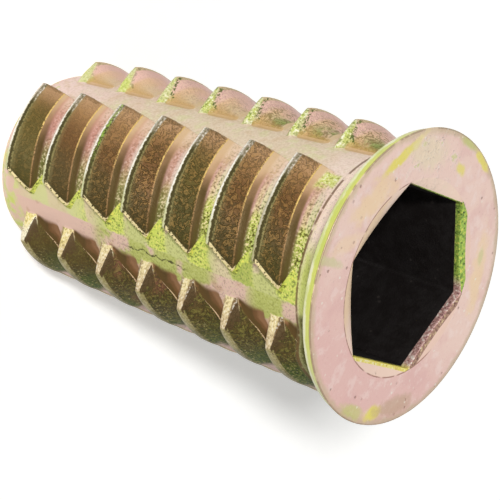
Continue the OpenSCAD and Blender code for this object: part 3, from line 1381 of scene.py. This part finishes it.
    def trail_sides(self) -> None:
        """Paints the sloping sides of the wide rows past the parting line, pink: partly the film's
        own tint, partly painted light of the row that faces up in the view.
        """
        net = self.net
        above = self.mask(self.side, self.wide, parted=(-0.12, 0.24))
        # pink ground: partly the film's tint, partly painted light
        self.over(ROSE, above)
        self.over(PALE_PINK, above, 0.6, u=(0.5, 0.1))
        self.over(HONEY, above, 0.6, v=(4.95, 5.4, 0.35), drift=(0.3, 0.9))
        base = net.ramp(self.v * 0.35 + self.u, 2.55, 2.9)
        self.over(TAN, above, base, 0.8)
        self.over(MOSS, above, base, z=(15.0, 20.0), spot=(0.4, 0.55))
        self.grained(OLIVE, PALE_LIME, above, self.grainy, 0.25, u=(0.5, 0.9))
        curls = self.curls(self.noise(size=0.5, seed=71.0, detail=1.0, rough=0.4, twist=1.2))
        self.over(CURL_OLIVE, above, curls, 0.7, z=(13.0, 19.0), u=(0.3, 0.6), v=(4.3, 5.0))
        past = self.mask((self.v, 8.0, 7.0), self.ridge, self.wide, v=(5.9, 6.1))
        self.over(TAN, past, 0.8, u=(0.0, 0.1))

    def ends(self) -> None:
        """Paints the end faces of the ridges."""
        face = self.mask(across=(1.02, 1.97, 0.05))
        strip = self.mask(face, self.wide, v=(1.2, 5.0, 0.15))
        front, rear = strip * self.lead, strip * self.trail
        inner = self.mask(front, u=(-1.7, -1.3))
        self.over(CREAM, front)
        self.over(TAN, inner, 0.7)
        self.over(YELLOW, front, (self.z + self.spot * 3.0, 10.0, 8.0), 0.4)
        self.over(WHITE, inner, 0.6, z=(6.2, 5.2))
        self.over(BROWN, front, v=(3.1, 2.6), z=(6.8, 19.5, 0.8), u=(-2.0, -1.4, 0.4, 0.85))
        self.over(BROWN, front, 0.85, v=(3.9, 4.3), z=(12.0, 20.0))
        self.grained(BROWN, WHITE, front, 0.5)
        self.over(PALE_LIME, rear)
        self.over(LIME, rear, 0.7, spot=(0.48, 0.6))
        self.over(LIGHT_OLIVE, rear, self.grainy, 0.35, v=(3.6, 4.4))
        self.grained(GREEN, WHITE, rear, self.grainy, 0.7)
        tail = self.mask(face, self.narrow, self.trail, v=(2.0, 8.0, 0.4))
        self.over(LIME, tail, 0.9)
        self.grained(OLIVE, YELLOW, tail, 0.8)
        self.over(SAND, face, self.narrow, self.lead, v=(2.0, 6.0, 0.4))
        foot = self.mask(self.wide, self.trail, across=(1.0, 2.1, 0.1), v=(5.0, 6.2, 0.25))
        self.over(OCHRE, foot, 0.7)

    def crests(self) -> None:
        """Paints the crests, with a painted highlight along each and a dark line of painted shade
        beside it.
        """
        bitten = self.v + (self.fine - 0.5) * 0.6
        across = self.mask(across=(1.05, 0.98))
        crest = self.mask(across, v=(2.85, 4.1, 0.1))
        slim, broad = crest * self.narrow, crest * self.wide
        above = self.mask(u=(-0.45, -0.75))
        self.over(CREST_OLIVE, slim)
        # the white along each narrow crest's edge is a painted highlight
        white = self.mask((bitten, 3.5, 3.3), 1.0 - above * 0.15)
        self.over(WHITE, slim, white)
        self.over(CREST_LIME, slim, white, 0.75, u=(0.4, 0.75))
        self.over(LIGHT_OLIVE, slim, white, 0.6, z=(24.0, 24.4), u=(-0.5, 0.1))
        self.over(PALE_PINK, slim, above, 0.3)
        self.grained(GREEN, WHITE, slim, above, 0.7)
        shadow = self.mask((bitten, 3.6, 3.95, 0.15), across, self.narrow)
        self.over(DARK_OLIVE, shadow, 0.9 - above * 0.6)
        green = self.mask(shadow, 0.8, z=(9.75, 10.5, 0.1), u=(0.5, -0.3))
        self.over(FRESH_GREEN, green, fine=(0.4, 0.6))
        self.over(LIGHT_OLIVE, broad)
        self.over(TAN, broad, 0.9, u=(0.0, 0.3))
        self.over(LIGHT_OLIVE, broad, 0.7, u=(-0.1, 0.1), v=(3.5, 3.1))
        self.over(OLIVE, broad, 0.7, u=(-0.45, 0.0, 0.2))
        self.grained(OLIVE, GREY_TAN, broad, 0.4)

    def lines(self) -> None:
        """Paints the thin seams, the lines at the ridges' ends with painted shade along their edges
        and at their feet, and the short crack.
        """
        net = self.net
        seam = self.mask(self.ridge, self.narrow, v=(5.93, 6.03, 0.05), fine=(0.3, 0.5))
        self.over(BRONZE, seam, 0.5)
        self.over(GOLD, seam, 0.85, u=(0.2, -0.3))
        thin = self.mask(self.ridge, self.wide, v=(5.95, 6.02, 0.04))
        self.over(SAND, thin, u=(-0.1, -0.3), fine=(0.3, 0.45))
        # dark line along the edge where each ridge's lead end face meets its side: painted shade
        rim = net.band(self.across + (self.fine - 0.5) * 0.2, 0.95, 1.04, 0.03) * self.lead
        self.over(DARK_BROWN, rim, self.wide, 0.95, v=(4.0, 5.0, 0.1))
        inward = (1.0 - self.across) * (1.0 + (self.v - 4.0) * 4.0)
        self.dot = self.noise(size=0.14, seed=61.0, detail=1.0)
        dots = self.mask(self.wide, self.trail, 0.9, (inward, 0.03, 0.1, 0.02))
        self.over(GREEN, dots, dot=(0.44, 0.54), z=(6.0, 9.0, 0.3, 1.0), v=(4.0, 5.0, 0.1))
        rear = self.mask(self.narrow, self.trail, v=(3.8, 6.3, 0.15))
        # inside the cream edge a dark olive line, and umber down the end face below it: painted
        # shade
        self.over(DARK_OLIVE, rear, 0.5, u=(0.88, 0.93, 0.03))
        self.over(CREAM, rear, u=(0.94, 1.0, 0.02), fine=(0.36, 0.46))
        self.over(UMBER, rear, 0.7, u=(1.1, 1.8, 0.1), v=(5.9, 5.3))
        crack = net.math("ABSOLUTE", self.turned + (self.spot - 0.5) * 9.0 - self.crack_at)
        crack = self.mask((crack, 0.7, 0.2), z=(13.5, 17.6, 1.4))
        self.over(DARK_OLIVE, crack, 0.9, fine=(0.35, 0.5))
        # the same line of painted shade, fainter, on the narrow rows
        self.over(UMBER, rim, self.narrow, 0.4, v=(4.0, 5.6, 0.2))

    def neck(self) -> None:
        """Paints the neck, with painted shade on its side turned from the light and along the
        crease under it.
        """
        spill = self.mask(turned=(83.0, 91.0, 3.0), z=(26.1, 26.9, 0.3), spot=(0.36, 0.5))
        self.over(LIME, spill, 0.8)
        self.grained(OLIVE, WHITE, spill, 0.6)
        flare = self.mask(z=(27.1, 27.7))
        self.over(NECK_PINK, flare)
        side = self.toward(FAR_SIDE) + (self.spot - 0.5) * 2.0
        self.over(LIME, flare, (side, 0.5, 2.6), 0.9)
        # olive on the side turned from the light: painted shade
        self.over(OLIVE, flare, (side, 5.4, 7.4, 0.8), 0.9)
        self.grained(OLIVE, PALE_LIME, flare, 0.32)
        # dark line along the crease: painted shade
        self.over(BROWN, 0.8, z=(27.22, 27.34, 0.05), spot=(0.35, 0.45))


@dataclass(frozen=True)
class Patch:
    """A soft patch on the flange's face: its place, its reach along and across, its look."""

    x: float
    y: float
    along: float
    across: float
    turn: float
    color: Ink
    strength: float


FACE_PATCHES = (
    Patch(0.3, 6.9, 2.6, 1.1, 168.0, WARM, 0.8),
    Patch(-3.0, 6.6, 1.8, 0.6, 150.0, WARM, 0.5),
    Patch(3.3, 7.2, 2.3, 0.42, 168.0, YELLOW, 0.95),
    Patch(5.1, 5.6, 2.2, 1.2, 130.0, BUTTER, 0.6),
    Patch(6.8, 2.2, 0.7, 0.4, 100.0, YELLOW, 0.8),
    Patch(8.6, 1.0, 1.3, 0.3, 95.0, YELLOW, 0.9),
    Patch(8.2, 3.0, 1.2, 0.35, 110.0, LIME, 0.6),
    Patch(-4.6, 7.1, 1.6, 0.35, 122.0, PALE_LIME, 0.6),
    Patch(-6.7, -4.8, 1.1, 0.55, 140.0, YELLOW, 1.0),
    Patch(-7.9, -3.0, 1.4, 0.5, 115.0, LIME, 0.6),
    Patch(-5.2, -6.1, 2.4, 0.7, 140.0, FAWN, 0.7),
    Patch(4.9, -5.3, 3.2, 0.8, 45.0, WARM, 0.8),
    Patch(5.6, -4.6, 0.8, 0.35, 50.0, PALE_LIME, 0.6),
)


class HeadFilm(Finish):
    """The film on the flange: its face, the countersink and the rim."""

    def __init__(self, body: BodySizes) -> None:
        """Paints the face, the countersink and the rim.

        Args:
            body: sizes of the head.
        """
        super().__init__("film_head")
        net = self.net
        self.r = net.length(self.x, self.y)
        self.patch = self.noise(size=2.2, seed=31.0)
        self.spot = self.noise(size=0.8, seed=37.0)
        self.fine = self.noise(size=0.2, seed=41.0, detail=2.0, rough=0.7)
        self.face()
        for patch in FACE_PATCHES:
            self.lay(patch)
        self.marks()
        self.countersink(body)
        self.rim(body)
        height = self.fine * 0.4 + self.pitted * -1.0 + self.rippled * self.fine
        rough = self.mask(patch=(0.3, 0.7, 0.34, 0.46))
        self.finish(metal=0.3, rough=rough, height=height, relief=0.04)

    def face(self) -> None:
        """Paints the rosy ground of the face, darker toward the side turned from the light as
        painted shade.
        """
        self.over(FACE_PINK)
        # darker rose toward the side turned from the light: painted shade
        lower = self.toward(FAR_SIDE) + (self.patch - 0.5) * 5.0
        self.over(FACE_ROSE, (lower, 0.5, 6.0), 0.9)
        self.over(FACE_BLUSH, 0.4, patch=(0.5, 0.64))
        self.over(FACE_PALE, 0.4, spot=(0.52, 0.66))
        self.over(RIM_TAN, (self.r + self.spot * 0.6, 8.75, 9.15), 0.6)

    def lay(self, patch: Patch) -> None:
        """Lays one soft patch on the face.

        Args:
            patch: the patch.
        """
        net = self.net
        turn = math.radians(patch.turn)
        x, y = self.x - patch.x, self.y - patch.y
        along = (x * math.cos(turn) + y * math.sin(turn)) / patch.along
        across = (y * math.cos(turn) - x * math.sin(turn)) / patch.across
        away = net.length(along, across) + (self.spot - 0.5) * 1.2
        self.over(patch.color, (away, 1.1, 0.45), patch.strength)

    def marks(self) -> None:
        """Paints the pits, the specks and the rougher skin over the socket."""
        net = self.net
        near = net.ramp(net.length(self.x - 5.6, self.y - 5.0), 3.6, 1.6)
        self.rippled = self.mask(near, spot=(0.42, 0.6))
        self.over(DARK_OLIVE, self.rippled, 0.7, fine=(0.6, 0.68))
        self.over(WHITE, self.rippled, 0.7, fine=(0.42, 0.34))
        self.over(LIME, self.rippled, 0.6, spot=(0.62, 0.7))
        self.pitted = self.mask(self.specks(size=0.3, seed=3.0, share=0.008), z=(29.9, 29.98))
        self.over(PIT_BROWN, self.pitted, 0.7)
        self.over(WHITE, self.specks(size=0.26, seed=9.0, share=0.01), 0.6)
        self.over(DEEP_BLUSH, 0.2, fine=(0.4, 0.3))
        self.over(WHITE, 0.2, fine=(0.6, 0.7))

    def countersink(self, body: BodySizes) -> None:
        """Paints the shallow countersink, lighter than the face and rimmed by a thin line.

        Args:
            body: sizes of the head.
        """
        net = self.net
        inside = net.ramp(self.r, body.sink_r + 0.03, body.sink_r - 0.05)
        self.over(SINK_PINK, inside, 0.75)
        top = net.band(self.toward((-0.5, 0.86)), 5.0, 6.2, 1.0)
        self.over(SINK_GOLD, inside, top, 0.6)
        beyond = net.most(self.toward((0.866, -0.5)), self.y * -1.0)
        self.over(SINK_ROSE, inside, (beyond, 4.6, 5.2))
        edge = net.band(self.r, body.sink_r - 0.03, body.sink_r + 0.02, 0.03)
        seen = net.ramp(self.toward((-0.94, 0.34)), -1.4, -0.6)
        self.over(LINE_BROWN, edge, seen, 0.8, spot=(0.35, 0.5))
        for angle, reach, color, dark, light in (
            (330.0, 0.44, FRESH_GREEN, DARK_GREEN, YELLOW),
            (270.0, 0.36, MAUVE, DARK_MAUVE, CREAM),
            (210.0, 0.2, YELLOW, OCHRE, WHITE),
        ):
            turn = math.radians(angle)
            out = self.toward((math.cos(turn), math.sin(turn))) - body.hex_af / 2
            mask = inside * net.band(out, -0.02, reach, 0.06)
            self.over(color, mask)
            self.grained(dark, light, mask, 0.85)

    def rim(self, body: BodySizes) -> None:
        """Paints the rim's side and its dark front edge.

        Args:
            body: sizes of the head.
        """
        top, rim_r = body.height, body.rim_r
        side = self.mask(z=(top - 0.02, top - 0.1), r=(rim_r - 0.3, rim_r - 0.2))
        self.over(RIM_LIME, side)
        self.over(WHITE, side, (self.z + self.spot * 0.5, 29.85, 29.7), 0.6)
        self.over(LIME, side, 0.6, patch=(0.5, 0.6))
        self.over(RIM_OLIVE, side, (self.y + self.patch * 3.0, 5.0, 0.0), 0.8)
        self.over(GREY_TAN, side, 0.9, x=(3.5, 6.0))
        edge_r = body.flange_r - 0.12, body.flange_r - 0.08
        self.over(BROWN, 0.5, z=(top - 0.09, top - 0.01, 0.03), r=edge_r, spot=(0.35, 0.5))


class HollowFilm(Finish):
    """The film in the socket and the bore: a bright band at the mouth and, below it, dark paint for
    the shade deep in the hollow.
    """

    band_depth = 0.52

    def __init__(self, name: str, mouth: float, depth_color: Ink) -> None:
        """Paints the hollow.

        Args:
            name: the material's name.
            mouth: height of the socket's mouth.
            depth_color: colour of the dark part, the painted shade.
        """
        super().__init__(name)
        self.spot = self.noise(size=0.7, seed=51.0)
        self.fine = self.noise(size=0.16, seed=53.0, detail=2.0, rough=0.7)
        # dark ground below the mouth band: painted shade
        self.over(depth_color)
        # faint lighter specks in the dark: painted small highlights
        self.over(DARK_GREY, self.specks(size=0.3, seed=6.0, share=0.06), 0.6, spot=(0.45, 0.6))
        lit = self.mask(z=(mouth - self.band_depth - 0.05, mouth - self.band_depth))
        self.over(BAND_PINK, lit)
        self.grained(BAND_DARK, WHITE, lit, 0.85)
        lime = self.mask(lit, x=(2.8, 3.6), y=(-5.0, -4.0))
        self.over(FRESH_GREEN, lime)
        self.grained(DARK_GREEN, YELLOW, lime, 0.9)
        self.over(YELLOW, lit, x=(-2.6, -3.2))
        rough = self.mask(spot=(0.3, 0.7, 0.4, 0.55))
        self.finish(metal=0.3, rough=rough, height=self.fine, relief=0.03)


@dataclass(frozen=True)
class CameraPlace:
    """The camera's place and turn, in millimetres."""

    place: Triple = (-42.5289, 77.1048, 86.5244)
    right: Triple = (0.56571, -0.35093, 0.7462)
    up: Triple = (0.7366, 0.62182, -0.26599)
    back: Triple = (-0.37066, 0.70013, 0.61027)
    lens: float = 129.11
    sensor: float = 36.0
    shift_x: float = -0.01177
    shift_y: float = 0.0025
    nearest: float = 1.0
    farthest: float = 20000.0


@dataclass(frozen=True)
class Lamp:
    """A soft sun: its level, how wide it looks in degrees, and the way to it.

    The way is given along the camera's right, up and back.
    """

    name: str
    level: float
    soft: float
    way: Triple


@dataclass(frozen=True)
class StudioLook:
    """Sizes and levels of the stage, in metres and plain light levels."""

    floor_r: float = 1.5
    floor_sides: int = 64
    floor_color: Triple = (0.95, 0.95, 0.94)
    floor_rough: float = 0.9
    floor_shine: float = 0.1
    floor_grain: float = 900.0
    grain_shade: tuple[float, ...] = (0.3, 0.7, 0.985, 1.0)
    floor_glow: float = 0.3
    glow_color: Triple = (1.0, 0.99, 0.95)
    world_color: Triple = (1.0, 1.0, 1.0)
    world_level: float = 0.27
    lamps: tuple[Lamp, ...] = (
        Lamp("key", 1.4, 4.0, (0.01, 0.13, 1.0)),
        Lamp("side", 1.27, 5.0, (0.08, 0.09, 1.0)),
    )


class Studio:
    """Floor, soft lamps, plain white surroundings and the camera."""

    def __init__(self, view: CameraPlace, look: StudioLook) -> None:
        """Keeps the camera's place and the stage's levels."""
        self.view = view
        self.look = look

    def camera(self) -> None:
        """Makes the camera and gives it to the scene."""
        view = self.view
        data = bpy.data.cameras.new("camera")
        data.sensor_width, data.lens = view.sensor, view.lens
        data.shift_x, data.shift_y = view.shift_x, view.shift_y
        data.clip_start, data.clip_end = view.nearest * MM, view.farthest * MM
        made = show("camera", data)
        turn = Matrix((view.right, view.up, view.back)).transposed()
        made.matrix_world = Matrix.Translation(Vector(view.place) * MM) @ turn.to_4x4()
        bpy.context.scene.camera = made

    def light(self, lamp: Lamp) -> None:
        """Adds a lamp to the scene.

        Args:
            lamp: the lamp.
        """
        data = bpy.data.lights.new(lamp.name, "SUN")
        data.energy = lamp.level
        data.angle = math.radians(lamp.soft)
        axes = (self.view.right, self.view.up, self.view.back)
        way = sum((Vector(axis) * part for axis, part in zip(axes, lamp.way)), Vector())
        show(lamp.name, data).rotation_euler = way.to_track_quat("Z", "Y").to_euler()

    def floor(self) -> None:
        """Lays the pale floor under the tip, a disc that stays white around the shadow."""
        look = self.look
        mesh = bpy.data.meshes.new("floor")
        made = bmesh.new()
        bmesh.ops.create_circle(
            made, cap_ends=True, segments=look.floor_sides, radius=look.floor_r
        )
        made.to_mesh(mesh)
        made.free()
        paper, net, shader = new_paint("white_paper")
        place = net.node("ShaderNodeTexCoord").outputs["Object"]
        grain = net.node("ShaderNodeTexNoise", {"Vector": place, "Scale": look.floor_grain})
        shade = net.ramp(Field(net, grain.outputs["Fac"]), *look.grain_shade)
        color = net.node("ShaderNodeVectorMath", {0: look.floor_color}, operation="SCALE")
        net.put(color.inputs["Scale"], shade)
        values = {
            "Roughness": look.floor_rough,
            "Specular IOR Level": look.floor_shine,
            "Base Color": color.outputs[0],
            "Emission Color": (*look.glow_color, 1.0),
            "Emission Strength": self.seen_rays(net) * look.floor_glow,
        }
        for name, value in values.items():
            net.put(shader.inputs[name], value)
        mesh.materials.append(paper)
        show("floor", mesh)

    @staticmethod
    def seen_rays(net: Net) -> Field:
        """Mask of the rays that show the background: camera, glossy and transmission.

        Args:
            net: the nodes that it goes into.

        Returns:
            The mask.
        """
        path = net.node("ShaderNodeLightPath")
        names = ("Is Camera Ray", "Is Glossy Ray", "Is Transmission Ray")
        one, two, three = (Field(net, path.outputs[name]) for name in names)
        return net.most(net.most(one, two), three)

    def world(self) -> None:
        """Surrounds the stage with plain white, dimmer where it lights than where it shows."""
        made = bpy.data.worlds.new("surroundings")
        made.use_nodes = True
        net = Net(made.node_tree)
        back = made.node_tree.nodes["Background"]
        level = net.ramp(self.seen_rays(net), 0.0, 1.0, self.look.world_level, 1.0, kind="LINEAR")
        net.put(back.inputs["Color"], (*self.look.world_color, 1.0))
        net.put(back.inputs["Strength"], level)
        bpy.context.scene.world = made

    def build(self) -> None:
        """Sets the whole stage."""
        self.camera()
        self.floor()
        self.world()
        for lamp in self.look.lamps:
            self.light(lamp)
        bpy.context.scene.view_settings.view_transform = "Standard"


def main() -> None:
    """Builds the insert and its stage, and reports each piece."""
    logging.basicConfig(level=logging.INFO, format="%(message)s")
    body = BodySizes()
    casting = show("insert_casting", Casting(body, ThreadSizes()).mesh())
    for film in (ThreadFilm(), HeadFilm(body), HollowFilm("film_hollow", body.height, BLACK)):
        casting.data.materials.append(film.material)
    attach(casting, "root")
    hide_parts("insert")
    # the fine thread in the bore is painted dark brown as the shade inside the bore
    bore_film = HollowFilm("film_bore", body.height, BORE_BROWN).material
    bolt = show("bolt_thread", BoltThread(BoltThreadSizes()).mesh(bore_film))
    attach(bolt, "root")
    for piece in (casting, bolt):
        LOG.info("%s: %d faces", piece.name, len(piece.data.polygons))
    Studio(CameraPlace(), StudioLook()).build()


if __name__ == "__main__":
    main()
